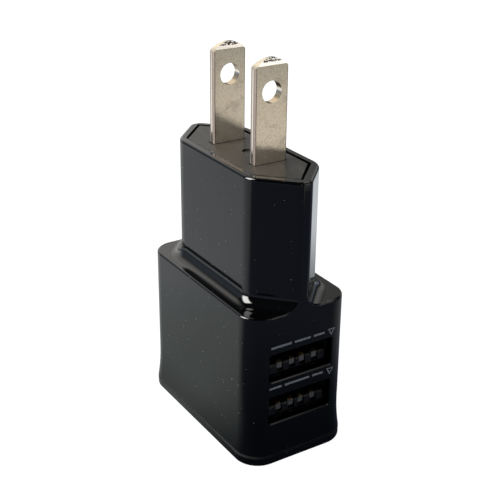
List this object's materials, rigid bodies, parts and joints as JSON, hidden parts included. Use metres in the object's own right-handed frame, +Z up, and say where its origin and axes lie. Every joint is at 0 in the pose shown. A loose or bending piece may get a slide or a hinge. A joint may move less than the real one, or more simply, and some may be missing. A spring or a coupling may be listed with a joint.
{
  "type": "usb wall charger",
  "caption": "Black mains wall charger with a flat-bladed plug on a hexagonal nose, a glossy shouldered body and stacked USB-A sockets with sprung contacts.",
  "frame": {"origin": "centre of the base, on the plane it rests on", "axes": "+Z up along the mains blades; X is the thickness; Y is the length; the USB sockets open towards -Y"},
  "size_m": [0.0208, 0.036, 0.0673],
  "materials": {
    "gloss_shell": "moulded black ABS/PC, polished, fine dust",
    "gloss_cap": "moulded black ABS/PC, polished",
    "satin_plate": "moulded dark plastic, satin",
    "blade_metal": "nickel plated, satin, fine stamping grain",
    "lead_red": "insulated stranded wire",
    "lead_black": "insulated stranded wire",
    "board_green": "glass fibre board with solder mask",
    "solder": "tin, bright",
    "socket_steel": "tin plated steel sheet",
    "socket_plastic": "black moulded insulator",
    "contact_bronze": "phosphor bronze with a thin gold flash",
    "ferrite": "sintered ferrite",
    "bobbin_plastic": "phenolic",
    "winding_tape": "yellow polyester tape",
    "capacitor_sleeve": "aluminium can in a dark sleeve",
    "capacitor_sleeve_green": "aluminium can in a green sleeve",
    "resistor_coat": "flameproof coating",
    "copper_wire": "enamelled copper",
    "chip_epoxy": "moulded epoxy",
    "opto_epoxy": "white moulded epoxy",
    "disc_blue": "blue dipped ceramic",
    "chip_ceramic": "ceramic chip"
  },
  "bodies": {
    "charger": {"housing": "gloss_shell", "bottom_cap": "gloss_cap", "blade_plate": "satin_plate", "line_blade": "blade_metal", "neutral_blade": "blade_metal", "upper_socket_insulator": "socket_plastic", "lower_socket_insulator": "socket_plastic", "line_lead": "lead_red", "neutral_lead": "lead_black", "main_board": "board_green", "usb_board": "board_green", "board_solder_joints": "solder", "upper_socket_shell": "socket_steel", "lower_socket_shell": "socket_steel", "upper_contact_tails": "contact_bronze", "lower_contact_tails": "contact_bronze", "transformer_core": "ferrite", "transformer_bobbin": "bobbin_plastic", "transformer_winding": "winding_tape", "transformer_tape": "winding_tape", "transformer_pins": "solder", "input_capacitor_a": "capacitor_sleeve", "input_capacitor_b": "capacitor_sleeve", "output_capacitor": "capacitor_sleeve_green", "fusible_resistor": "resistor_coat", "filter_choke_core": "ferrite", "filter_choke_coil": "copper_wire", "bridge_rectifier": "chip_epoxy", "primary_controller": "chip_epoxy", "optocoupler": "opto_epoxy", "output_diode": "chip_epoxy", "y_capacitor": "disc_blue", "port_controller": "chip_epoxy", "chip_parts": "chip_ceramic"},
    "upper_power": {"upper_power_contact": "contact_bronze"},
    "upper_data_minus": {"upper_data_minus_contact": "contact_bronze"},
    "upper_data_plus": {"upper_data_plus_contact": "contact_bronze"},
    "upper_ground": {"upper_ground_contact": "contact_bronze"},
    "lower_power": {"lower_power_contact": "contact_bronze"},
    "lower_data_minus": {"lower_data_minus_contact": "contact_bronze"},
    "lower_data_plus": {"lower_data_plus_contact": "contact_bronze"},
    "lower_ground": {"lower_ground_contact": "contact_bronze"}
  },
  "joints": [
    {"name": "upper_power_flex", "type": "hinge", "parent": "charger", "child": "upper_power", "pos_m": [0.0035, -0.00595, 0.01808], "axis": [1, 0, 0], "range_deg": [0, 2.5]},
    {"name": "upper_data_minus_flex", "type": "hinge", "parent": "charger", "child": "upper_data_minus", "pos_m": [0.001, -0.00595, 0.01808], "axis": [1, 0, 0], "range_deg": [0, 2.5]},
    {"name": "upper_data_plus_flex", "type": "hinge", "parent": "charger", "child": "upper_data_plus", "pos_m": [-0.001, -0.00595, 0.01808], "axis": [1, 0, 0], "range_deg": [0, 2.5]},
    {"name": "upper_ground_flex", "type": "hinge", "parent": "charger", "child": "upper_ground", "pos_m": [-0.0035, -0.00595, 0.01808], "axis": [1, 0, 0], "range_deg": [0, 2.5]},
    {"name": "lower_power_flex", "type": "hinge", "parent": "charger", "child": "lower_power", "pos_m": [0.0035, -0.00595, 0.00997], "axis": [1, 0, 0], "range_deg": [0, 2.5]},
    {"name": "lower_data_minus_flex", "type": "hinge", "parent": "charger", "child": "lower_data_minus", "pos_m": [0.001, -0.00595, 0.00997], "axis": [1, 0, 0], "range_deg": [0, 2.5]},
    {"name": "lower_data_plus_flex", "type": "hinge", "parent": "charger", "child": "lower_data_plus", "pos_m": [-0.001, -0.00595, 0.00997], "axis": [1, 0, 0], "range_deg": [0, 2.5]},
    {"name": "lower_ground_flex", "type": "hinge", "parent": "charger", "child": "lower_ground", "pos_m": [-0.0035, -0.00595, 0.00997], "axis": [1, 0, 0], "range_deg": [0, 2.5]}
  ]
}
